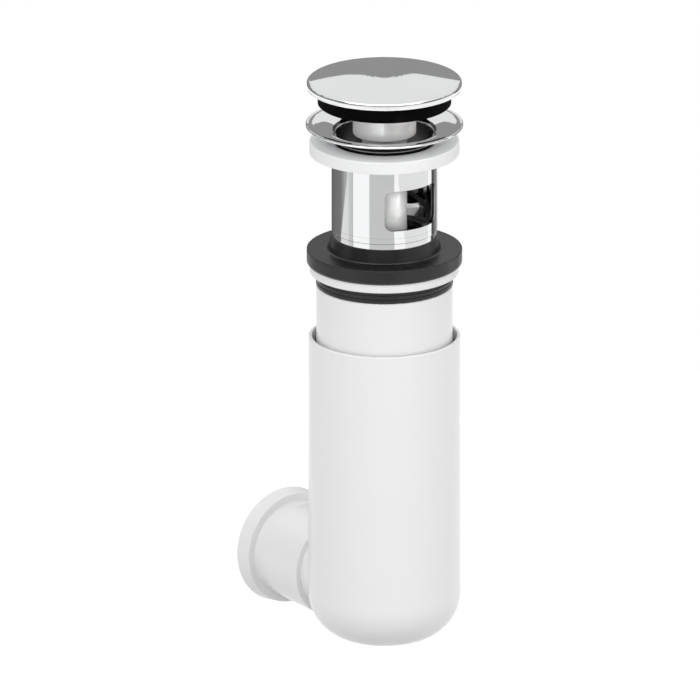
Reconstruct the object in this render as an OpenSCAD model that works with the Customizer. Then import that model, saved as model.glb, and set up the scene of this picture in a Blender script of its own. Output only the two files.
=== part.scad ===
// Basin siphon: a push-plug basin waste on a height-adjustable round-bottomed trap.
// Millimetres, +Z up. The origin lies on the waste's axis, in the plane where the white
// gasket rests on the basin. The outlet points along +Y.

/* [Basin waste] */
// Width of the flange's dish, from the drain hole's edge to the rim
flange_w = 11.5; // [9.9:0.1:15.9]
// Height of the flange rim above the white gasket
flange_rise = 7; // [6.4:0.1:9]
// Depth of the dish, from the rim to the edge of the drain hole
dish_depth = 2.9; // [2:0.1:3.6]
// Outside diameter of the waste tube, a 1 1/4 inch pipe thread
tube_d = 42.2; // [41.6:0.1:46]
// Wall of the waste tube
tube_wall = 1.9; // [1.5:0.1:2.2]
// Length of the waste tube below the basin seat
tube_len = 64; // [60:1:72]
// Length of plain tube below the basin seat, before the thread
plain_len = 32.3; // [28:0.1:38]
// Step from the plain tube in to the thread, on the radius
thread_step = 0.25; // [0.1:0.05:0.5]
// Width of each overflow window, straight across
window_w = 24.7; // [14:0.1:28]
// Height of each overflow window
window_h = 16.7; // [8:0.1:17]
// Drop from the basin seat to the top edge of a window
window_drop = 10.1; // [8:0.1:11]

/* [Gaskets and nut] */
// Width of the white gasket under the flange
top_gasket_w = 8.8; // [6:0.1:10]
// Thickness of the white gasket
top_gasket_t = 5.1; // [3:0.1:7]
// Clear height for the basin, from the seat to the black gasket's hub
clamp_gap = 34.6; // [30:0.1:36]
// Width of the black gasket's disc
low_gasket_w = 10.15; // [7:0.05:13]
// Thickness of the black gasket's disc
low_gasket_t = 6; // [4:0.1:8]
// Height of the black gasket's hub
hub_h = 5.6; // [3:0.1:7]
// Overhang of the nut's white flange past the inlet tube
nut_lip = 2.7; // [1:0.1:5]
// Thickness of the nut's white flange
nut_t = 3.7; // [2.5:0.1:5]
// Thread wall between the waste tube and the inlet tube
nut_wall = 4.5; // [3:0.05:5]
// Height of the black ring between the nut and the inlet tube
collar_h = 5.2; // [3:0.1:7]

/* [Inlet tube and bowl] */
// Wall of the inlet tube
inlet_wall = 1.7; // [1.4:0.1:2.4]
// Length of the inlet tube
inlet_len = 85; // [70:1:96]
// Length of inlet tube that shows above the bowl
inlet_show = 21.6; // [5:0.1:50]
// Gap between the inlet tube and the bowl
bowl_gap = 1.85; // [1.5:0.05:2.5]
// Height of the bowl
bowl_h = 126.1; // [115:0.1:160]
// Wall of the bowl at its rim
bowl_wall = 1.15; // [1:0.05:2]
// Radius of the bowl's bottom corner
bowl_corner = 19; // [12:0.5:22]

/* [Outlet] */
// Height of the socket's underside above the bowl's bottom
outlet_lift = 0; // [0:0.1:18]
// Length of the outlet socket
socket_len = 36.7; // [32:0.1:50]
// Wall of the socket beside its bead
socket_wall = 3.1; // [2.8:0.1:5]
// Height of the bead over the socket
bead_h = 3.9; // [3.5:0.1:5]
// Length of the bead
bead_len = 7.1; // [6.5:0.1:9]
// Bore of the socket, for a 32 mm pipe
pipe_bore = 32.8; // [32.4:0.1:33.2]

/* [Plug] */
// How far the cap's rim stays inside the flange's
cap_inset = 0.45; // [0:0.05:3]
// Height of the cap's rim band
cap_band = 3; // [1.8:0.1:4]
// Rise of the cap's dome over its rim
dome_rise = 2.6; // [1:0.1:4]
// Gap between the flange rim and the open plug's cap
plug_gap = 14.9; // [13:0.1:17]
// How far the plug's seal stays inside the flange's rim
seal_inset = 4.8; // [3:0.1:6]
// Thickness of the plug's seal
plug_seal_t = 6.5; // [4:0.1:7]
// Diameter of the sleeve under the plug
sleeve_d = 25.3; // [24:0.1:27]
// Length of the sleeve under the seal
sleeve_len = 12.7; // [11:0.1:13.5]

/* [Cartridge] */
// Diameter of the cartridge post
post_d = 18.1; // [17:0.1:19]
// Number of lugs on the ratchet rotor, and of ribs around it
lugs = 4; // [3:1:5]
// Turn of the rotor over one stroke, in degrees
rotor_turn = 45; // [20:1:50]
// Step from the toothed crown in to the plunger stem, on the radius
crown_step = 1.3; // [0.8:0.1:2.3]
// Wire of the cartridge spring
wire_d = 0.9; // [0.6:0.1:1.2]
// Turns of the cartridge spring
spring_turns = 6.5; // [4:0.5:8]

/* [Lift-out trap] */
// Depth of the ledge that the trap's head rests on, below the basin seat
ledge_drop = 42; // [40:0.5:44]
// Outside diameter of the dip tube
dip_d = 25.1; // [20:0.1:27]
// Depth of water in the cup that keeps the drain's air out
water_seal = 57; // [45:1:60]
// Drop from the ledge to the rim of the cup
cup_drop = 30; // [28:0.5:34]
// Wall of the dip tube and of the cup
trap_wall = 1.1; // [0.8:0.1:1.4]
// Number of straps that the cup hangs on
straps = 4; // [3:1:5]

/* [Hidden] */
$fn = 96;
// Running clearance of a turned piece in its bore, on the radius
fit = 0.05;
// Gap between pieces that pass each other
play = 0.3;

// Heights down the axis
rim_z = top_gasket_t + flange_rise;
window_z = -window_drop - window_h / 2;
hub_top = -clamp_gap;
disc_top = hub_top - hub_h;
disc_bottom = disc_top - low_gasket_t;
nut_bottom = disc_bottom - nut_t;
inlet_top = nut_bottom - collar_h;
inlet_end = inlet_top - inlet_len;
bowl_rim = inlet_top - inlet_show;
bowl_floor = bowl_rim - bowl_h;

// Radii of the waste and of what lies around it
tube_r = tube_d / 2;
bore_r = tube_r - tube_wall;
thread_r = tube_r - thread_step;
ledge_r = bore_r - 0.8;
neck_r = tube_r - 0.7;
lip_r = 1.6;
hole_r = bore_r + lip_r / 2;
flange_r = hole_r + flange_w;
dish_r = flange_r - 1.2;
sheet = 0.9;
barrel_r = thread_r + fit + nut_wall;
inlet_bore_r = barrel_r + 0.1;
inlet_r = inlet_bore_r + inlet_wall;
nut_r = inlet_r + nut_lip;
top_gasket_r = tube_r + fit + top_gasket_w;
low_gasket_r = thread_r + fit + low_gasket_w;
bowl_bore_r = inlet_r + bowl_gap;
bowl_r = bowl_bore_r + bowl_wall;
bowl_draft = 0.25;

// The sliding seal of the bowl
guide_h = 12;
guide_r = bowl_bore_r - 0.4;
oring_r = 1.2;
oring_seat_r = bowl_bore_r - 2 * fit - 2 * oring_r;
oring_z = inlet_end + guide_h / 2;

// The outlet, along +Y, with a socket that widens towards the bowl
socket_start = bowl_r + 1.5;
socket_end = socket_start + socket_len;
socket_r = pipe_bore / 2 + socket_wall;
socket_flare = 1.1;
outlet_z = bowl_floor + outlet_lift + socket_r + socket_flare;
bead_r = socket_r + bead_h;
spigot_r = socket_r - 1.2;
spigot_wall = 1.7;
spigot_end = socket_start + 10;
bead_start = socket_end - bead_len;
seal_groove_r = bead_r - 2.8;

// The plug and its stroke
cap_z = rim_z + plug_gap;
cap_r = flange_r - cap_inset;
seal_bottom = cap_z - plug_seal_t;
seal_r = flange_r - seal_inset;
seal_lip_r = seal_r - 0.3;
dish_z = rim_z - 0.1 - (dish_depth - 0.1) * pow((dish_r - seal_lip_r) / (dish_r - hole_r), 2);
stroke = seal_bottom - dish_z - play;
sleeve_bottom = seal_bottom - sleeve_len;
web_t = 2.2;
boss_r = 10.1;

// The cartridge, from the top of its post down
post_r = post_d / 2;
post_top = sleeve_bottom + 0.6;
post_lid = 2;
post_bore_r = post_r - 1.05;
guide_r_in = post_bore_r - 1;
crown_r = guide_r_in - 1.7;
stem_r = crown_r - crown_step;
lug_r = guide_r_in - 0.2;
crown_top = post_top - 12.5;
crown_h = 3;
tooth = 0.5;
rotor_top = crown_top - crown_h - 2 * tooth - play;
rotor_h = 3.2;
pin_r = stem_r / 2;
tooth_start = pin_r + 0.8;
spring_top = rotor_top - rotor_h - 0.1;

// The lift-out trap, from its ledge down
ledge_z = -ledge_drop;
head_r = bore_r - 0.25;
head_h = 9;
head_bore_r = head_r - 2.4;
spider_t = 6;
spider_top = ledge_z + 10;
post_floor = spider_top + 2.5;
cone_h = 8;
dip_r = dip_d / 2;
collar_r = dip_r + 1.65;
collar_bottom = ledge_z - cone_h - 8;
cup_r = ledge_r - 0.5;
cup_rim = ledge_z - cup_drop;
dip_end = cup_rim - water_seal;
cup_h = water_seal + 13;
hanger_h = 4;
strap_r = max(cup_r - trap_wall - 0.6, collar_r + play);

// Points of an arc about c, for rounding a profile's corners
function arc(c, r, from, to, n = 8) =
    [for (i = [0:n]) c + r * [cos(from + (to - from) * i / n), sin(from + (to - from) * i / n)]];

// A plain ring standing on z = 0
module ring(r_out, r_in, h) {
    difference() {
        cylinder(r = r_out, h = h);
        translate([0, 0, -1])
            cylinder(r = r_in, h = h + 2);
    }
}

// A ring with rounded outer corners standing on z = 0
module soft_ring(r_out, r_in, h, low = 0.5, high = 0.5) {
    rotate_extrude()
        polygon(concat([[r_in, 0]],
                       arc([r_out - low, low], low, -90, 0),
                       arc([r_out - high, h - high], high, 0, 90),
                       [[r_in, h]]));
}

// A pot's solid of revolution with a true round bottom corner
module pot(r, h, corner) {
    translate([0, 0, corner])
        cylinder(r = r, h = h - corner);
    cylinder(r = r - corner, h = corner);
    rotate_extrude()
        intersection() {
            translate([r - corner, corner])
                circle(r = corner);
            translate([r - corner, 0])
                square([corner, corner]);
        }
}

// A round section swept about the axis at height 0
module o_ring(r_mid, r_section) {
    rotate_extrude()
        translate([r_mid, 0])
            circle(r = r_section, $fn = 32);
}

// A flat slot with rounded corners, cut along Y
module window_cut(w, h, corner, depth) {
    rotate([90, 0, 0])
        linear_extrude(depth)
            union() {
                square([w - 2 * corner, h], center = true);
                square([w, h - 2 * corner], center = true);
                for (x = [-1, 1], y = [-1, 1])
                    translate([x * (w / 2 - corner), y * (h / 2 - corner)])
                        circle(r = corner, $fn = 32);
            }
}

// Dished flange, necked tube with two overflow windows, and the inner ledge
module waste_body() {
    color("silver")
        difference() {
            union() {
                rotate_extrude()
                    polygon(concat([[bore_r, top_gasket_t + 1.4],
                                    [neck_r, top_gasket_t + 1.4],
                                    [neck_r, rim_z - dish_depth - 1.2],
                                    [neck_r + 1.9, rim_z - dish_depth - sheet]],
                                   arc([flange_r - 0.45, rim_z - 0.45], 0.45, -80, 90),
                                   [for (i = [0:23])
                                       let (u = i / 24)
                                       [dish_r + (hole_r - dish_r) * u,
                                        rim_z - 0.1 - (dish_depth - 0.1) * u * u]],
                                   arc([bore_r + lip_r, rim_z - dish_depth - lip_r * sin(60)], lip_r, 120, 180)));
                translate([0, 0, top_gasket_t - 1.2])
                    ring(neck_r, bore_r, 3);
                rotate_extrude()
                    polygon([[bore_r, top_gasket_t - 0.6],
                             [tube_r, top_gasket_t - 0.6],
                             [tube_r, thread_step - plain_len],
                             [thread_r, -plain_len],
                             [thread_r, 0.8 - tube_len],
                             [thread_r - 0.8, -tube_len],
                             [ledge_r, -tube_len],
                             [ledge_r, ledge_z],
                             [bore_r, ledge_z]]);
            }
            for (side = [0, 180])
                rotate([0, 0, side])
                    translate([0, -bore_r / 2, window_z])
                        window_cut(window_w, window_h, 3, tube_r);
        }
}

// White gasket between the flange and the basin
module flange_gasket() {
    color("white")
        soft_ring(top_gasket_r, tube_r + fit, top_gasket_t, 0.2, 0.6);
}

// Black gasket below the basin, with a coned hub round the tube
module lower_gasket() {
    hub_r = tube_r + 0.3;
    color([0.2, 0.2, 0.21])
        translate([0, 0, disc_bottom])
            rotate_extrude()
                polygon(concat([[thread_r + fit, 0]],
                               arc([low_gasket_r - 1, 1], 1, -90, 0),
                               arc([low_gasket_r - 0.3, low_gasket_t - 0.3], 0.3, 0, 90, 4),
                               arc([hub_r + 2, low_gasket_t + 1], 1, -90, -175, 6),
                               [[hub_r, low_gasket_t + hub_h], [thread_r + fit, low_gasket_t + hub_h]]));
}

// White nut: a flange above, and a barrel that the inlet tube screws onto
module clamp_nut() {
    color("white")
        union() {
            translate([0, 0, nut_bottom])
                soft_ring(nut_r, thread_r + fit, nut_t, 0.5, 0.5);
            translate([0, 0, nut_bottom - 11])
                ring(barrel_r, thread_r + fit, 11.5);
        }
}

// Black ring between the nut and the inlet tube, with two fine grooves
module collar_seal() {
    color([0.16, 0.16, 0.17])
        translate([0, 0, inlet_top])
            difference() {
                soft_ring(inlet_r + 0.2, barrel_r + fit, collar_h, 0.3, 0.3);
                for (level = [1, 2])
                    translate([0, 0, collar_h * level / 3 - 0.2])
                        ring(inlet_r + 1, inlet_r - 0.1, 0.4);
            }
}

// White inlet tube, with a guide collar and seal groove at its lower end
module inlet_tube() {
    color("white")
        difference() {
            union() {
                translate([0, 0, inlet_end])
                    soft_ring(inlet_r, inlet_bore_r, inlet_len, 0.2, 0.8);
                translate([0, 0, inlet_end])
                    soft_ring(guide_r, inlet_bore_r, guide_h, 0.6, 0.6);
            }
            translate([0, 0, oring_z - oring_r - fit])
                ring(guide_r + 1, oring_seat_r - fit, 2 * oring_r + 2 * fit);
        }
}

// Ring that seals the inlet tube in the bowl
module bowl_oring() {
    color([0.12, 0.12, 0.12])
        translate([0, 0, oring_z])
            o_ring(oring_seat_r + oring_r, oring_r);
}

// White bowl with a rounded bottom and a spigot for the outlet
module bowl() {
    color("white")
        difference() {
            union() {
                translate([0, 0, bowl_floor])
                    pot(bowl_r + bowl_draft, bowl_corner + 20, bowl_corner);
                translate([0, 0, bowl_floor + bowl_corner + 20])
                    cylinder(r1 = bowl_r + bowl_draft, r2 = bowl_r, h = bowl_h - bowl_corner - 20.3);
                translate([0, 0, bowl_rim - 0.3])
                    cylinder(r1 = bowl_r, r2 = bowl_r - 0.3, h = 0.3);
                translate([0, 0, outlet_z])
                    rotate([-90, 0, 0])
                        cylinder(r = spigot_r, h = spigot_end);
            }
            translate([0, 0, bowl_floor + bowl_wall + bowl_draft])
                pot(bowl_bore_r, bowl_h, bowl_corner - bowl_wall);
            translate([0, 0, outlet_z])
                rotate([-90, 0, 0]) {
                    cylinder(r = spigot_r - spigot_wall, h = spigot_end - 2);
                    cylinder(r = pipe_bore / 2 - 1, h = spigot_end + 1);
                }
        }
}

// White socket on the bowl's spigot, with a bead for its lip seal
module outlet_socket() {
    root_r = socket_r + socket_flare;
    color("white")
        translate([0, 0, outlet_z])
            rotate([-90, 0, 0])
                difference() {
                    rotate_extrude()
                        polygon(concat([[0, socket_start]],
                                       arc([root_r - 0.3, socket_start + 0.3], 0.3, -90, 0, 3),
                                       [[socket_r, bead_start]],
                                       arc([bead_r - 1.2, bead_start + 0.3], 0.3, -90, -10, 3),
                                       arc([bead_r - 0.8, socket_end - 0.8], 0.8, 5, 90, 6),
                                       [[0, socket_end]]));
                    translate([0, 0, socket_start - 1])
                        cylinder(r = spigot_r + fit, h = spigot_end - socket_start + 1.05);
                    cylinder(r = pipe_bore / 2, h = socket_end + 1);
                    translate([0, 0, bead_start + 0.6])
                        cylinder(r = seal_groove_r, h = bead_len - 2.2);
                    translate([0, 0, socket_end - 2])
                        cylinder(r = pipe_bore / 2 + 0.9, h = 3);
                }
}

// Black lip seal in the bead, drawn as a pushed-in pipe would leave it
module outlet_seal() {
    groove_start = bead_start + 0.6;
    groove_w = bead_len - 2.2;
    lip_r = pipe_bore / 2 + 0.1;
    color([0.14, 0.14, 0.14])
        translate([0, 0, outlet_z])
            rotate([-90, 0, 0])
                rotate_extrude()
                    polygon([[lip_r + 1.4, groove_start],
                             [seal_groove_r, groove_start],
                             [seal_groove_r, groove_start + groove_w],
                             [lip_r + 1.6, groove_start + groove_w],
                             [lip_r + 1.6, groove_start + groove_w - 1],
                             [lip_r, groove_start + 1.4],
                             [lip_r, groove_start + 0.6]]);
}

// Head of the lift-out trap: seal ring, spider with flared arms, funnel and dip tube collar
module trap_head() {
    arm_flare = 3.6;
    root_x = head_bore_r + 0.7 - arm_flare;
    color([0.13, 0.13, 0.14])
        difference() {
            union() {
                translate([0, 0, ledge_z])
                    ring(head_r, head_bore_r, head_h);
                rotate_extrude()
                    polygon([[head_bore_r, ledge_z + 1.5],
                             [head_r - 1.2, ledge_z],
                             [cup_r, ledge_z],
                             [cup_r, ledge_z - 1.5],
                             [collar_r, ledge_z - cone_h],
                             [collar_r, collar_bottom],
                             [dip_r + fit, collar_bottom],
                             [dip_r + fit, ledge_z - cone_h],
                             [dip_r - trap_wall, ledge_z - cone_h],
                             [dip_r - trap_wall, ledge_z - cone_h + 1]]);
                translate([0, 0, spider_top - spider_t])
                    cylinder(r = post_r - 0.6, h = spider_t);
                for (i = [0:2])
                    rotate([0, 0, 76 + 120 * i])
                        translate([0, 0, spider_top - spider_t])
                            linear_extrude(spider_t - 1)
                                polygon(concat([[5, -2.5], [10, -2.5]],
                                               arc([root_x, -3 - arm_flare], arm_flare, 90, 0),
                                               arc([root_x, 3 + arm_flare], arm_flare, 0, -90),
                                               [[10, 2.5], [5, 2.5]]));
            }
            translate([0, 0, ledge_z + head_h / 2 - 1])
                ring(head_r + 1, head_r - 1.6, 2);
            translate([0, 0, spider_top - spider_t - 1])
                cylinder(r = 2.6, h = spider_t + 2);
            translate([0, 0, collar_bottom + 2.8])
                ring(collar_r + 1, collar_r - 0.6, hanger_h + 0.2);
        }
}

// Ring that seals the trap's head in the waste bore
module head_oring() {
    color([0.12, 0.12, 0.12])
        translate([0, 0, ledge_z + head_h / 2])
            o_ring(bore_r - fit - 0.85, 0.85);
}

// Tube that carries the waste water down into the cup
module dip_tube() {
    color([0.13, 0.13, 0.14])
        translate([0, 0, dip_end])
            soft_ring(dip_r, dip_r - trap_wall, ledge_z - cone_h - dip_end - 0.1, 0.2, 0.2);
}

// Cup that holds the water seal, hung on straps from a ring round the head's collar
module trap_cup() {
    hanger_z = collar_bottom + 2.9;
    color([0.13, 0.13, 0.14])
        difference() {
            union() {
                translate([0, 0, cup_rim - cup_h])
                    pot(cup_r, cup_h, 8);
                translate([0, 0, hanger_z])
                    ring(cup_r, collar_r - 0.5, hanger_h);
                for (i = [0:straps - 1])
                    rotate([0, 0, 45 + 360 * i / straps])
                        translate([0, 0, cup_rim - 1])
                            intersection() {
                                ring(cup_r, strap_r, hanger_z + 1 - cup_rim + 1);
                                translate([0, -3, 0])
                                    cube([cup_r + 1, 6, hanger_z - cup_rim + 3]);
                            }
            }
            translate([0, 0, cup_rim - cup_h + trap_wall + 0.2])
                pot(cup_r - trap_wall, cup_h, 7);
        }
}

// Post of the cartridge, a lidded tube on the spider
module cartridge_post() {
    color([0.86, 0.87, 0.88])
        difference() {
            translate([0, 0, spider_top])
                soft_ring(post_r, 0, post_top - spider_top, 0.2, 0.6);
            translate([0, 0, post_floor])
                cylinder(r = post_bore_r, h = post_top - post_lid - post_floor);
            translate([0, 0, post_top - post_lid - 1])
                cylinder(r = stem_r + fit, h = post_lid + 2);
            translate([0, 0, spider_top - 1])
                cylinder(r = 2.5, h = 4);
        }
}

// Liner of the post, with helical ribs that turn the rotor as it sinks
module guide_sleeve() {
    liner_bottom = rotor_top - rotor_h - stroke - 1;
    rib_top = crown_top - 0.4;
    rib_bottom = liner_bottom + 0.4;
    rib_turn = rotor_turn * (rib_top - rib_bottom) / stroke;
    rib_start = rotor_turn * (rotor_top - rotor_h / 2 - rib_bottom) / stroke;
    color([0.9, 0.9, 0.88])
        union() {
            translate([0, 0, liner_bottom])
                ring(post_bore_r - fit, guide_r_in, post_top - post_lid - 0.1 - liner_bottom);
            translate([0, 0, rib_bottom])
                linear_extrude(rib_top - rib_bottom, twist = rib_turn, slices = 12, $fn = 13)
                    for (i = [0:lugs - 1])
                        rotate([0, 0, 360 * (i + 0.5) / lugs + rib_start])
                            polygon(concat(arc([0, 0], guide_r_in + 0.3, -18, 18, 3),
                                           arc([0, 0], crown_r + play, 18, -18, 2)));
        }
}

// Points of one wire ring of the spring, at a share u of its length
function wire_ring(u, r, h, turns, sides) =
    let (a = 360 * turns * u)
    [for (k = [0:sides - 1])
        let (b = 360 * k / sides, q = r + wire_d / 2 * cos(b))
        [q * cos(a), q * sin(a), wire_d / 2 + (h - wire_d) * u + wire_d / 2 * sin(b)]];

// Spring that lifts the rotor and the plug
module cartridge_spring() {
    sides = 8;
    steps = round(spring_turns * 14);
    h = spring_top - post_floor - 0.1;
    rings = [for (s = [0:steps]) each wire_ring(s / steps, crown_r - 0.7, h, spring_turns, sides)];
    walls = [for (s = [0:steps - 1], k = [0:sides - 1])
        [s * sides + k, s * sides + (k + 1) % sides,
         (s + 1) * sides + (k + 1) % sides, (s + 1) * sides + k]];
    ends = [[for (k = [sides - 1:-1:0]) k], [for (k = [0:sides - 1]) steps * sides + k]];
    color("silver")
        translate([0, 0, post_floor + 0.05])
            polyhedron(rings, concat(walls, ends), convexity = 10);
}

// Screw that holds the post on the spider
module cartridge_screw() {
    head_z = spider_top - spider_t;
    color("silver")
        difference() {
            union() {
                translate([0, 0, head_z - 2.4])
                    cylinder(r1 = 3.9, r2 = 4.5, h = 2.4);
                translate([0, 0, head_z - 0.5])
                    cylinder(r = 2.45, h = spider_t + 2.8);
            }
            translate([-5, -0.5, head_z - 3])
                cube([10, 1, 1.6]);
        }
}

// Rotor of the ratchet, with lugs that run between the liner's ribs
module ratchet_rotor() {
    color([0.85, 0.2, 0.15])
        translate([0, 0, rotor_top - rotor_h])
            difference() {
                union() {
                    cylinder(r = crown_r - 0.6, h = rotor_h);
                    for (i = [0:lugs - 1])
                        rotate([0, 0, 360 * i / lugs])
                            intersection() {
                                cylinder(r = lug_r, h = rotor_h);
                                translate([0, -1.1, 0])
                                    cube([lug_r + 1, 2.2, rotor_h]);
                            }
                    for (i = [0:2 * lugs - 1])
                        rotate([0, 0, 180 * (i + 0.5) / lugs])
                            translate([tooth_start, 0, rotor_h])
                                rotate([0, 90, 0])
                                    cylinder(r = tooth, h = crown_r - 1.3 - tooth_start, $fn = 4);
                }
                translate([0, 0, -1])
                    cylinder(r = pin_r + fit, h = rotor_h + 2);
            }
}

// Stem of the plug: threaded rod, toothed crown and the pin that the rotor turns on
module plunger_stem() {
    pin_len = rotor_h + 8.4;
    color("silver")
        union() {
            translate([0, 0, crown_top - 0.5])
                cylinder(r = stem_r, h = cap_z - 0.6 - crown_top);
            translate([0, 0, crown_top - crown_h])
                cylinder(r = crown_r, h = crown_h);
            translate([0, 0, crown_top - crown_h - pin_len])
                cylinder(r = pin_r, h = pin_len + 1);
            for (i = [0:2 * lugs - 1])
                rotate([0, 0, 180 * i / lugs])
                    translate([tooth_start, 0, crown_top - crown_h])
                        rotate([0, 90, 0])
                            cylinder(r = tooth, h = crown_r - 0.2 - tooth_start, $fn = 4);
        }
}

// Domed cap with a rounded rim and a threaded boss below
module plug_cap() {
    crown = cap_r - 1.2;
    ball_r = (crown * crown + dome_rise * dome_rise) / (2 * dome_rise);
    half = asin(crown / ball_r);
    dome_z = cap_z + cap_band + dome_rise - ball_r;
    color("silver")
        difference() {
            union() {
                rotate_extrude()
                    polygon(concat([[0, cap_z]],
                                   arc([cap_r - 0.7, cap_z + 0.7], 0.7, -90, 0),
                                   arc([cap_r - 1.2, cap_z + cap_band - 1.2], 1.2, 0, 88),
                                   arc([0, dome_z], ball_r, 90 - half, 90, 20)));
                translate([0, 0, seal_bottom + 0.05])
                    cylinder(r = boss_r, h = plug_seal_t + 0.5);
            }
            translate([0, 0, seal_bottom - 1])
                cylinder(r = stem_r + fit, h = plug_seal_t + 1);
        }
}

// Black seal under the cap
module plug_seal() {
    color([0.15, 0.15, 0.16])
        translate([0, 0, seal_bottom])
            rotate_extrude()
                polygon([[boss_r + fit, 0],
                         [seal_lip_r, 0],
                         [seal_r, 0.3],
                         [seal_r, plug_seal_t],
                         [boss_r + fit, plug_seal_t]]);
}

// Sleeve that clamps the seal to the cap and hides the top of the post
module plug_sleeve() {
    color([0.78, 0.79, 0.8])
        translate([0, 0, sleeve_bottom])
            difference() {
                soft_ring(sleeve_d / 2, 0, sleeve_len, 0.9, 0.2);
                translate([0, 0, -1])
                    cylinder(r = sleeve_d / 2 - 2.2, h = sleeve_len - web_t + 1);
                cylinder(r = stem_r + fit, h = sleeve_len + 1);
            }
}

waste_body();
flange_gasket();
lower_gasket();
clamp_nut();
collar_seal();
inlet_tube();
bowl_oring();
bowl();
outlet_socket();
outlet_seal();
trap_head();
head_oring();
dip_tube();
trap_cup();
cartridge_post();
guide_sleeve();
cartridge_spring();
cartridge_screw();
ratchet_rotor();
plunger_stem();
plug_cap();
plug_seal();
plug_sleeve();
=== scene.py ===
import math

import bmesh
import bpy
import numpy as np
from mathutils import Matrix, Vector


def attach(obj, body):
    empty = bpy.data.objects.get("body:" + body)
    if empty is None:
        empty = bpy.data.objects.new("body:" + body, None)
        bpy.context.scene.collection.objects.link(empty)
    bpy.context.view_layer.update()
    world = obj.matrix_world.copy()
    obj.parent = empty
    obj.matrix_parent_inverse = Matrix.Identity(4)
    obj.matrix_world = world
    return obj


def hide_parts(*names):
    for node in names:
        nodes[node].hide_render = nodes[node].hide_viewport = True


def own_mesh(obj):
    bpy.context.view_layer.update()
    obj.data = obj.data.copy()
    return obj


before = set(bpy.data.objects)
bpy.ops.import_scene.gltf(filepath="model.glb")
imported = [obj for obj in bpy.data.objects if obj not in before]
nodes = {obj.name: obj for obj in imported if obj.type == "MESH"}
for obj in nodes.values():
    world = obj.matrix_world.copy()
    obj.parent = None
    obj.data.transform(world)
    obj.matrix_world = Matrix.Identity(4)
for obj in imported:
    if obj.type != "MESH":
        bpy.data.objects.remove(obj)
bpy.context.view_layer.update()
print("frame loaded:", len(nodes), "nodes")

# the photograph shows no perspective, so the camera is parallel; across is the width of the picture
shot = dict(azimuth=-36.0, elevation=18.1, distance=3.0, across=0.27933, aimHeight=-0.0832, aside=0.01375,
            clip=(0.1, 12.0))


def compass(azimuth):
    # level unit vectors to the camera's right and back towards the camera
    a = math.radians(azimuth)
    return np.array([math.cos(a), math.sin(a), 0.0]), np.array([math.sin(a), -math.cos(a), 0.0])


right, towards = compass(shot["azimuth"])
upwards = np.array([0.0, 0.0, 1.0])


def placeCamera(s):
    e = math.radians(s["elevation"])
    back = towards * math.cos(e) + upwards * math.sin(e)
    aim = upwards * s["aimHeight"] - right * s["aside"]
    data = bpy.data.cameras.new("shotCamera")
    data.type, data.ortho_scale = "ORTHO", s["across"]
    data.clip_start, data.clip_end = s["clip"]
    camera = bpy.data.objects.new("shotCamera", data)
    bpy.context.scene.collection.objects.link(camera)
    camera.location = aim + back * s["distance"]
    camera.rotation_mode = "QUATERNION"
    camera.rotation_quaternion = (-Vector(back)).to_track_quat("-Z", "Y")
    bpy.context.scene.camera = camera


placeCamera(shot)
print("camera placed")


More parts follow.
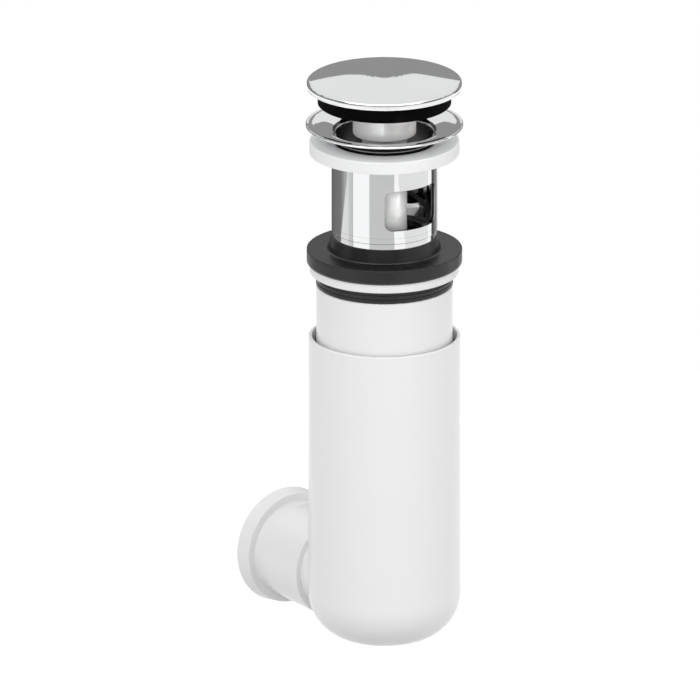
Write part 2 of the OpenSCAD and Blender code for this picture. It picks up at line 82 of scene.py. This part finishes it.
class Wire:
    # one node output; arithmetic on it adds Math nodes to the tree

    def __init__(self, tree, socket=None):
        self.tree, self.socket = tree, socket

    def node(self, kind, settings=None, inputs=None, out=0):
        n = self.tree.nodes.new(kind)
        for key, value in (settings or {}).items():
            if key == "stops":
                for stop, (place, shade) in zip(n.color_ramp.elements, value):
                    stop.position, stop.color = place, grey(shade)
            else:
                setattr(n, key, value)
        for key, value in (inputs or {}).items():
            if isinstance(value, Wire):
                self.tree.links.new(value.socket, n.inputs[key])
            else:
                n.inputs[key].default_value = value
        return Wire(self.tree, n.outputs[out])

    def maths(self, operation, a, b):
        return self.node("ShaderNodeMath", {"operation": operation}, {0: a, 1: b})

    def __add__(self, other): return self.maths("ADD", self, other)
    def __radd__(self, other): return self.maths("ADD", other, self)
    def __sub__(self, other): return self.maths("SUBTRACT", self, other)
    def __rsub__(self, other): return self.maths("SUBTRACT", other, self)
    def __mul__(self, other): return self.maths("MULTIPLY", self, other)
    def __rmul__(self, other): return self.maths("MULTIPLY", other, self)
    def __pow__(self, other): return self.maths("POWER", self, other)

    def noise(self, coords, scale, detail, roughness=0.5):
        return self.node("ShaderNodeTexNoise", {}, {"Vector": coords, "Scale": scale, "Detail": detail,
                                                     "Roughness": roughness})

    def stretched(self, coords, scale):
        return self.node("ShaderNodeMapping", {}, {"Vector": coords, "Scale": scale})

    def climb(self, value, low, high):
        # 0 up to low, 1 from high on, straight between
        return self.node("ShaderNodeValToRGB", {"stops": [(low, 0.0), (high, 1.0)]}, {"Fac": value})

    def above(self, value, edge, soft):
        # 0 below the edge, 1 above it, smooth over soft on both sides
        return self.node("ShaderNodeMapRange", {"interpolation_type": "SMOOTHSTEP"},
                         {"Value": value, "From Min": edge - soft, "From Max": edge + soft})

    def below(self, value, edge, soft):
        return 1 - self.above(value, edge, soft)

    def within(self, value, low, high, soft):
        # 1 between two edges
        return self.above(value, low, soft) * self.below(value, high, soft)

    def line(self, value, middle, half, soft):
        # 1 on a narrow line, half its width to each side of the middle
        return self.within(value, middle - half, middle + half, soft)

    def radiusAndHeight(self, coords):
        # distance from the part's axis, and height, both in metres
        x, y, z = (self.node("ShaderNodeSeparateXYZ", {}, {"Vector": coords}, axis) for axis in "XYZ")
        return (x * x + y * y) ** 0.5, z

    def mixColour(self, factor, a, b):
        # a Mix node takes its two colours in sockets 6 and 7 and gives the mixed one in output 2
        return self.node("ShaderNodeMix", {"data_type": "RGBA"}, {0: factor, 6: a, 7: b}, out=2)

    def bump(self, height, strength, distance):
        return self.node("ShaderNodeBump", {}, {"Height": height, "Strength": strength, "Distance": distance})

    def seenDirectly(self):
        # 1 for what the camera sees by itself, in a reflection or through glass; 0 for light on other things
        camera, glossy, passing = (self.node("ShaderNodeLightPath", {}, {}, "Is %s Ray" % kind)
                                   for kind in ("Camera", "Glossy", "Transmission"))
        return self.maths("MINIMUM", camera + glossy + passing, 1.0)


def grey(level, tint=(1.0, 1.0, 1.0)):
    return tuple(level * t for t in tint) + (1.0,)


def newMaterial(name):
    material = bpy.data.materials.new(name)
    material.use_nodes = True
    tree = material.node_tree
    for n in list(tree.nodes):
        if n.type != "OUTPUT_MATERIAL":
            tree.nodes.remove(n)
    return material, Wire(tree), tree.nodes["Material Output"]


def finished(name, look, settings, fixed):
    # a Principled material: look gives what varies over the surface, fixed what doesn't
    material, start, output = newMaterial(name)
    place = start.node("ShaderNodeTexCoord", {}, {}, "Object")
    inputs = dict(fixed)
    inputs.update(look(start, place, settings))
    surface = start.node("ShaderNodeBsdfPrincipled", {}, inputs)
    start.tree.links.new(surface.socket, output.inputs["Surface"])
    return material


# in the settings of a finish, level and the tone beside it are two colours that a noise mixes; a noise is
# its scale, detail and roughness; grain stretches a noise along an axis; relief and depth are the bump's
# strength and distance; lengths are metres
chrome = dict(level=0.93, dull=0.86, tint=(0.985, 0.992, 1.0), haze=(55.0, 4.0, 0.6), hazy=(0.4, 0.8),
              veil=0.35, grain=(90.0, 90.0, 900.0), marks=(6.0, 2.0), smooth=0.028, smear=0.05,
              smeared=(0.35, 0.75), relief=0.006, depth=0.0002)


def chromeLook(start, place, s):
    # bright plating: a breath of haze and fine polishing marks round the axis
    haze = start.noise(place, *s["haze"])
    marks = start.noise(start.stretched(place, s["grain"]), *s["marks"])
    rough = start.climb(haze, *s["smeared"]) * s["smear"] * marks + s["smooth"]
    colour = start.mixColour(start.climb(haze, *s["hazy"]) * s["veil"],
                             grey(s["level"], s["tint"]), grey(s["dull"], s["tint"]))
    return {"Base Color": colour, "Roughness": rough, "Normal": start.bump(marks, s["relief"], s["depth"])}


# the waste's own plating, with painted shade on the neck, in the top of the bore and on the window's cut faces;
# lines are a height and half a width, the other pairs run from low to high
waste = dict(chrome, soft=0.0001, lineSoft=0.00008, outside=(0.02095, 0.00005),
             neck=(0.0197, 0.0212), sealant=(0.0050, 0.0096), black=0.006, sealed=0.99,
             bead=(0.0062, 0.00012), beadShare=0.7, scribe=(-0.0298, 0.00006), scribed=0.35,
             bore=0.0195, cast=(-0.0090, 0.0080), castSoft=0.0004, castLevel=0.20, castRough=0.30,
             wall=(0.0193, 0.0207), wallSoft=0.00005, window=(-0.0290, -0.0090), cut=0.03)


def wasteLook(start, place, s):
    looks = chromeLook(start, place, s)
    radius, height = start.radiusAndHeight(place)
    # painted shade: the neck between the gasket and the flange is painted black, with a thin line in it where
    # the painted shade is lighter; and a scribed line above the thread
    sealed = start.within(radius, *s["neck"], s["soft"]) * start.within(height, *s["sealant"], s["soft"])
    bead = start.line(height, *s["bead"], s["lineSoft"])
    scribe = start.line(height, *s["scribe"], s["lineSoft"]) * start.above(radius, *s["outside"])
    dark = sealed * (1 - bead * s["beadShare"]) * s["sealed"] + scribe * s["scribed"]
    looks["Base Color"] = start.mixColour(dark, looks["Base Color"], grey(s["black"]))
    # painted shade: the top of the bore is painted dark and made dull
    cast = start.below(radius, s["bore"], s["soft"]) * start.within(height, *s["cast"], s["castSoft"])
    looks["Base Color"] = start.mixColour(cast, looks["Base Color"], grey(s["castLevel"]))
    looks["Roughness"] = cast * s["castRough"] + looks["Roughness"]
    # painted shade: the window's cut faces go through the wall and are painted black
    cut = start.within(radius, *s["wall"], s["wallSoft"]) * start.within(height, *s["window"], s["soft"])
    looks["Base Color"] = start.mixColour(cut, looks["Base Color"], grey(s["cut"]))
    return looks


satin = dict(level=0.80, dull=0.76, tint=(0.99, 0.995, 1.0), cloud=(80.0, 3.0), grain=(2.0, 2.0, 5200.0),
             lines=(1.0, 2.0), rough=0.42, uneven=0.12, relief=0.06, depth=0.0002)


def satinLook(start, place, s):
    # satin sleeve: fine turned rings across the height
    lines = start.noise(start.stretched(place, s["grain"]), *s["lines"])
    cloud = start.noise(place, *s["cloud"])
    return {"Base Color": start.mixColour(cloud, grey(s["level"], s["tint"]), grey(s["dull"], s["tint"])),
            "Roughness": lines * s["uneven"] + s["rough"], "Normal": start.bump(lines, s["relief"], s["depth"])}


rubber = dict(level=0.003, worn=0.008, tint=(1.0, 1.0, 1.05), wornTint=(1.0, 1.0, 1.03),
              bloom=(130.0, 4.0, 0.6), bloomed=(0.35, 0.8), pores=(2600.0, 3.0, 0.6), rough=0.20,
              uneven=0.14, relief=0.10, depth=0.00012)
plugRubber = dict(rubber, level=0.0012, worn=0.003, rough=0.5)


def rubberLook(start, place, s):
    # moulded black rubber: fine pores, a trace of bloom
    pores = start.noise(place, *s["pores"])
    bloom = start.noise(place, *s["bloom"])
    colour = start.mixColour(start.climb(bloom, *s["bloomed"]),
                             grey(s["level"], s["tint"]), grey(s["worn"], s["wornTint"]))
    return {"Base Color": colour, "Roughness": bloom * s["uneven"] + s["rough"],
            "Normal": start.bump(pores, s["relief"], s["depth"])}


gloss = dict(level=0.84, shade=0.82, tint=(0.997, 1.0, 1.0), grain=(26.0, 26.0, 7.0), flow=(1.0, 4.0, 0.55),
             peel=(420.0, 2.0), rough=0.16, uneven=0.10, relief=0.03, depth=0.0002)


def glossLook(start, place, s):
    # injection-moulded white plastic: long flow marks, slight orange peel
    peel = start.noise(place, *s["peel"])
    flow = start.noise(start.stretched(place, s["grain"]), *s["flow"])
    return {"Base Color": start.mixColour(flow, grey(s["level"], s["tint"]), grey(s["shade"], s["tint"])),
            "Roughness": flow * s["uneven"] + s["rough"], "Normal": start.bump(peel, s["relief"], s["depth"])}


gasket = dict(level=0.87, shade=0.84, tint=(0.99, 0.995, 1.0), cloud=(60.0, 3.0), pores=(1500.0, 3.0),
              rough=0.5, uneven=0.12, relief=0.06, depth=0.0001)


def gasketLook(start, place, s):
    # soft white sealing rubber, matt
    pores = start.noise(place, *s["pores"])
    cloud = start.noise(place, *s["cloud"])
    return {"Base Color": start.mixColour(cloud, grey(s["level"], s["tint"]), grey(s["shade"], s["tint"])),
            "Roughness": cloud * s["uneven"] + s["rough"], "Normal": start.bump(pores, s["relief"], s["depth"])}


# the trap insert: black moulding, with a pale spider inside the head and above its floor
insert = dict(level=0.006, shade=0.011, spider=0.80, spiderShade=0.74, spiderRadius=(0.0162, 0.0001),
              spiderFloor=(-0.0385, 0.0002), grain=(40.0, 40.0, 12.0), flow=(1.0, 4.0), peel=(500.0, 3.0),
              rough=0.35, uneven=0.12, relief=0.04, depth=0.0002)


def insertLook(start, place, s):
    flow = start.noise(start.stretched(place, s["grain"]), *s["flow"])
    peel = start.noise(place, *s["peel"])
    radius, height = start.radiusAndHeight(place)
    spider = start.below(radius, *s["spiderRadius"]) * start.above(height, *s["spiderFloor"])
    black = start.mixColour(flow, grey(s["level"]), grey(s["shade"]))
    pale = start.mixColour(flow, grey(s["spider"]), grey(s["spiderShade"]))
    return {"Base Color": start.mixColour(spider, black, pale), "Roughness": flow * s["uneven"] + s["rough"],
            "Normal": start.bump(peel, s["relief"], s["depth"])}


# rings are the heights of two thin rings of painted highlight, ring is half the width of one and the softness
# of its edge
post = dict(level=0.86, shade=0.82, grain=(3.0, 3.0, 2400.0), lines=(1.0, 2.0), rings=(-0.0229, -0.0240),
            ring=(0.00012, 0.0001), polished=0.97, rough=0.11, uneven=0.05, relief=0.02, depth=0.0002)


def postLook(start, place, s):
    # pale polished tube with two faint rings of painted highlight
    lines = start.noise(start.stretched(place, s["grain"]), *s["lines"])
    height = start.radiusAndHeight(place)[1]
    upper, lower = (start.line(height, middle, *s["ring"]) for middle in s["rings"])
    colour = start.mixColour(lines, grey(s["level"]), grey(s["shade"]))
    return {"Base Color": start.mixColour(upper + lower, colour, grey(s["polished"])),
            "Roughness": lines * s["uneven"] + s["rough"], "Normal": start.bump(lines, s["relief"], s["depth"])}


steel = dict(level=0.62, shade=0.5, grain=(30.0, 30.0, 2600.0), lines=(1.0, 2.0), rough=0.22, uneven=0.15,
             relief=0.05, depth=0.0002)


def steelLook(start, place, s):
    # bare steel wire and rod
    lines = start.noise(start.stretched(place, s["grain"]), *s["lines"])
    return {"Base Color": start.mixColour(lines, grey(s["level"]), grey(s["shade"])),
            "Roughness": lines * s["uneven"] + s["rough"], "Normal": start.bump(lines, s["relief"], s["depth"])}


rotor = dict(colour=(0.62, 0.075, 0.05, 1.0), shade=(0.50, 0.05, 0.035, 1.0), cloud=(300.0, 3.0), rough=0.32,
             uneven=0.1, relief=0.03, depth=0.0002)


def rotorLook(start, place, s):
    # red acetal
    cloud = start.noise(place, *s["cloud"])
    return {"Base Color": start.mixColour(cloud, s["colour"], s["shade"]),
            "Roughness": cloud * s["uneven"] + s["rough"], "Normal": start.bump(cloud, s["relief"], s["depth"])}


blackRubber = finished("blackRubber", rubberLook, rubber, {"IOR": 1.52})
blackInsert = finished("blackInsert", insertLook, insert, {"IOR": 1.3})
whitePlastic = finished("whitePlastic", glossLook, gloss, {"IOR": 1.49})
whiteGasket = finished("whiteGasket", gasketLook, gasket, {"IOR": 1.41})
bareSteel = finished("bareSteel", steelLook, steel, {"Metallic": 1.0})
finishes = dict(
    waste_body=finished("platedWaste", wasteLook, waste, {"Metallic": 1.0}),
    plug_cap=finished("platedCap", chromeLook, chrome, {"Metallic": 1.0}),
    plug_sleeve=finished("satinSleeve", satinLook, satin, {"IOR": 1.5}),
    plug_seal=finished("plugRubber", rubberLook, plugRubber, {"IOR": 1.1}),
    cartridge_post=finished("palePost", postLook, post, {"IOR": 1.8}),
    ratchet_rotor=finished("redPlastic", rotorLook, rotor, {"IOR": 1.48}),
    lower_gasket=blackRubber, collar_seal=blackRubber, bowl_oring=blackRubber, outlet_seal=blackRubber,
    head_oring=blackRubber, trap_head=blackInsert, dip_tube=blackInsert, trap_cup=blackInsert,
    clamp_nut=whitePlastic, inlet_tube=whitePlastic, bowl=whitePlastic, outlet_socket=whitePlastic,
    flange_gasket=whiteGasket, guide_sleeve=whiteGasket,
    cartridge_spring=bareSteel, cartridge_screw=bareSteel, plunger_stem=bareSteel)
for name, node in nodes.items():
    node.data.materials.clear()
    node.data.materials.append(finishes[name])
print("finishes on", len(nodes), "nodes")

# the spring gets shorter as the plug goes down; a merged copy of it stands for its node. travel is the
# plug's stroke and merge the distance within which points are one, both in metres
spring = dict(node="cartridge_spring", body="insert", slot="steel", joint="plug_press", travel=0.0086,
              merge=1e-6)


def pressSpring(s):
    # the node's loose triangles are merged into one closed coil
    shape = bmesh.new()
    shape.from_mesh(nodes[s["node"]].data)
    bmesh.ops.remove_doubles(shape, verts=shape.verts, dist=s["merge"])
    mesh = bpy.data.meshes.new("pressedSpring")
    shape.to_mesh(mesh)
    shape.free()
    mesh.materials.append(bareSteel)
    coil = bpy.data.objects.new("pressedSpring", mesh)
    bpy.context.scene.collection.objects.link(coil)
    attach(coil, s["body"])
    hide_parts(s["node"])
    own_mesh(coil)


pressSpring(spring)


def gridMesh(name, points, material, levels=None):
    # points[u, v] is a grid; each cell is one quad, wound so that u x v points outwards
    nu, nv = points.shape[:2]
    i, j = np.meshgrid(np.arange(nu - 1), np.arange(nv - 1), indexing="ij")
    corner = (i * nv + j).ravel()
    quads = np.stack([corner, corner + nv, corner + nv + 1, corner + 1], 1)
    mesh = bpy.data.meshes.new(name)
    mesh.from_pydata(points.reshape(-1, 3).tolist(), [], quads.tolist())
    if levels is not None:
        shades = mesh.attributes.new("level", "FLOAT", "POINT")
        shades.data.foreach_set("value", levels.ravel().astype(np.float32))
    mesh.materials.append(material)
    mesh.polygons.foreach_set("use_smooth", [True] * len(mesh.polygons))
    obj = bpy.data.objects.new(name, mesh)
    bpy.context.scene.collection.objects.link(obj)
    return obj


# boards stand round the object and are seen only in reflections; azimuth runs from the camera, + to its
# right. A board has a radius, a left and a right edge as an azimuth and the degrees by which it leans for
# each metre of height, a low and a high edge along its azimuth, and shades along its azimuth
def boardPoints(b, across, up):
    # share runs between the edges, height between low and high; the leaning edges move with height
    share = np.linspace(0.0, 1.0, across)[:, None]
    climb = np.linspace(0.0, 1.0, up)[None, :]
    middle = (b["left"][0] + (b["right"][0] - b["left"][0]) * share) * np.ones_like(climb)
    low = np.interp(middle, *np.transpose(b["low"]))
    high = np.interp(middle, *np.transpose(b["high"]))
    height = low + (high - low) * climb
    drop = np.clip(height, *leanRange) - leanRange[1]
    left, far = b["left"][0] + b["left"][1] * drop, b["right"][0] + b["right"][1] * drop
    azimuth = left + (far - left) * share
    angle = np.radians(azimuth)
    flat = towards * np.cos(angle)[..., None] + right * np.sin(angle)[..., None]
    return flat * b["radius"] + upwards * height[..., None], np.interp(azimuth, *np.transpose(b["shades"]))


def boardMaterial():
    material, start, output = newMaterial("reflectedBoard")
    level = start.node("ShaderNodeAttribute", {"attribute_name": "level"}, {}, "Fac")
    glow = start.node("ShaderNodeEmission", {}, {"Strength": level})
    start.tree.links.new(glow.socket, output.inputs["Surface"])
    return material


def elevated(radius, degrees, centre=0.03):
    # height at which a board of this radius is seen at this elevation from the plug
    return centre + radius * math.tan(math.radians(degrees))


# the near stripes are what the tube mirrors; the gap between their two bands keeps the cap's rim white
near = 0.4  # their radius
leanRange = (-0.168, -0.130)  # an edge leans only between these heights
bands = {"": (-0.172, -0.1050), "Upper": (-0.0905, 0.02)}  # added to the name: the low and high edge
stripes = [
    dict(name="leftDark", left=(-180, 0), right=(-86.5, 768),
         shades=[(-180, 0.125), (-150, 0.125), (-146, 0.155), (-112, 0.185), (-104.4, 0.235), (-97.5, 0.36),
                 (-88, 0.44)]),
    dict(name="leftPale", left=(-86.5, 768), right=(-71.2, 0),
         shades=[(-110, 0.76), (-84.5, 0.74), (-82, 0.61), (-74.5, 0.59), (-73.5, 0.5), (-71.2, 0.5)]),
    dict(name="frontGrey", left=(-32.4, 0), right=(21.6, 0), shades=[(-32.4, 0.585), (21.6, 0.585)]),
    dict(name="rightPale", left=(29.6, -580), right=(108.4, 0), shades=[(29, 0.79), (108, 0.82)]),
    dict(name="rightDark", left=(122.1, 0), right=(180, 0),
         shades=[(122, 0.14), (128, 0.10), (130, 0.03), (132.5, 0.03), (134.5, 0.2), (149, 0.22), (152, 0.45),
                 (180, 0.45)]),
]
# the wall's top edge is the line between grey and pale on the cap and in the dish
wallTop = [(-180, 0.960), (-179, 0.920), (-178.2, 0.868), (-178, 0.825), (-176.5, 0.757), (-174.4, 0.778),
           (-173, 0.80), (-171, 0.86), (-167, 0.97), (-163, 1.00), (0, 0.90), (163, 1.00), (167, 0.97),
           (171, 0.86), (172.8, 0.780), (174.8, 0.782), (177.1, 0.738), (177.6, 0.756), (178.6, 0.896),
           (179.8, 0.963), (180, 0.963)]
boards = [dict(s, radius=near, low=[(0, low)], high=[(0, high)], name=s["name"] + part)
          for s in stripes for part, (low, high) in bands.items()]
around = dict(left=(-180, 0), right=(180, 0))
boards += [
    dict(around, name="wall", radius=2.4, low=[(0, -0.39)], high=wallTop, shades=[(0, 0.29)]),
    dict(around, name="ceiling", radius=2.42, low=wallTop, high=[(0, elevated(2.42, 50))], shades=[(0, 0.81)]),
    dict(around, name="glowRing", radius=2.2, low=[(0, elevated(2.2, 47))], high=[(0, elevated(2.2, 60))],
         shades=[(-110, 0.81), (-70, 3.5), (70, 3.5), (110, 0.81)]),
    dict(name="frontLine", left=(-116, 0), right=(112, 0), radius=2.2, low=[(0, elevated(2.2, 20))],
         high=[(0, elevated(2.2, 30))], shades=[(0, 0.01)]),
]
boardGrid = dict(near=120, far=721, up=24)  # points along a near and a far board, and up one


def hangBoards(g):
    material = boardMaterial()
    for b in boards:
        points, levels = boardPoints(b, g["near"] if b["radius"] == near else g["far"], g["up"])
        board = gridMesh("board_" + b["name"], points, material, levels)
        board.visible_camera = board.visible_diffuse = board.visible_shadow = board.visible_transmission = False


hangBoards(boardGrid)
print("boards:", len(boards))

floorPlan = dict(height=-0.45, radius=1.1, rings=12, spokes=97, colour=0.42, lift=0.68)


def layFloor(f):
    # a disc: radius runs outwards from the middle, angle all the way round
    radius = np.linspace(0.0, f["radius"], f["rings"])[None, :] * np.ones((f["spokes"], 1))
    angle = np.linspace(0.0, 2 * math.pi, f["spokes"])[:, None]
    points = np.stack([radius * np.cos(angle), -radius * np.sin(angle), np.full_like(radius, f["height"])], 2)
    material, start, output = newMaterial("paleFloor")
    matt = start.node("ShaderNodeBsdfDiffuse", {}, {"Color": grey(f["colour"])})
    glow = start.node("ShaderNodeEmission", {}, {"Strength": start.seenDirectly() * f["lift"]})
    both = start.node("ShaderNodeAddShader", {}, {0: matt, 1: glow})
    clear = start.node("ShaderNodeBsdfTransparent")
    under = start.node("ShaderNodeNewGeometry", {}, {}, "Backfacing")
    shown = start.node("ShaderNodeMixShader", {}, {0: under, 1: both, 2: clear})
    start.tree.links.new(shown.socket, output.inputs["Surface"])
    gridMesh("studioFloor", points, material)


layFloor(floorPlan)
print("floor laid")

room = dict(ambient=0.66, white=1.0)


def lightRoom(r):
    # white to the camera and in reflections, dimmer as light on the object
    world = bpy.data.worlds.new("studioRoom")
    world.use_nodes = True
    bpy.context.scene.world = world
    tree = world.node_tree
    tree.nodes.clear()
    start = Wire(tree)
    output = tree.nodes.new("ShaderNodeOutputWorld")
    strength = start.seenDirectly() * (r["white"] - r["ambient"]) + r["ambient"]
    sky = start.node("ShaderNodeBackground", {}, {"Color": grey(1.0), "Strength": strength})
    tree.links.new(sky.socket, output.inputs["Surface"])


lightRoom(room)

# lamps: azimuth from the camera, elevation, distance, size and power, with the spread of a narrow beam in
# degrees and its aim in metres, aside, near to the camera and up. The narrow ones reach into the window,
# the gap under the plug and the mirrored arm of the spider
lamps = [
    dict(name="keyBox", azimuth=-36, elevation=24, distance=1.6, size=1.6, power=10.0),
    dict(name="fillBox", azimuth=50, elevation=20, distance=1.8, size=1.8, power=11.5),
    dict(name="topBox", azimuth=180, elevation=70, distance=1.5, size=1.4, power=2.2),
    dict(name="windowLamp", azimuth=40, elevation=7, distance=0.5, size=0.02, power=0.0007, spread=4.0,
         aim=(0.0, 0.0, -0.018)),
    dict(name="gapLamp", azimuth=12, elevation=4, distance=0.5, size=0.01, power=0.0003, spread=2.4,
         aim=(0.0, 0.0, 0.014)),
    dict(name="backBox", azimuth=172, elevation=18, distance=1.8, size=1.6, power=8.0),
    dict(name="backLamp", azimuth=178, elevation=51, distance=0.5, size=0.006, power=0.0045, spread=1.4,
         aim=(-0.0045, -0.0125, -0.034)),
]
wide = dict(spread=180.0, aim=(0.0, 0.0, shot["aimHeight"]))  # for a lamp that names no beam of its own


def hangLamp(lamp):
    b = dict(wide, **lamp)
    a, e = math.radians(b["azimuth"]), math.radians(b["elevation"])
    flat = towards * math.cos(a) + right * math.sin(a)
    aside, forward, up = b["aim"]
    aim = Vector(right * aside + towards * forward + upwards * up)
    data = bpy.data.lights.new(b["name"], "AREA")
    data.shape, data.size, data.energy = "DISK", b["size"], b["power"]
    data.spread = math.radians(b["spread"])
    obj = bpy.data.objects.new(b["name"], data)
    bpy.context.scene.collection.objects.link(obj)
    obj.location = aim + Vector(flat * math.cos(e) + upwards * math.sin(e)) * b["distance"]
    obj.rotation_euler = (aim - obj.location).to_track_quat("-Z", "Y").to_euler()
    obj.visible_glossy = obj.visible_camera = False


for lamp in lamps:
    hangLamp(lamp)
bpy.context.scene.view_settings.view_transform = "Standard"
print("studio lit")
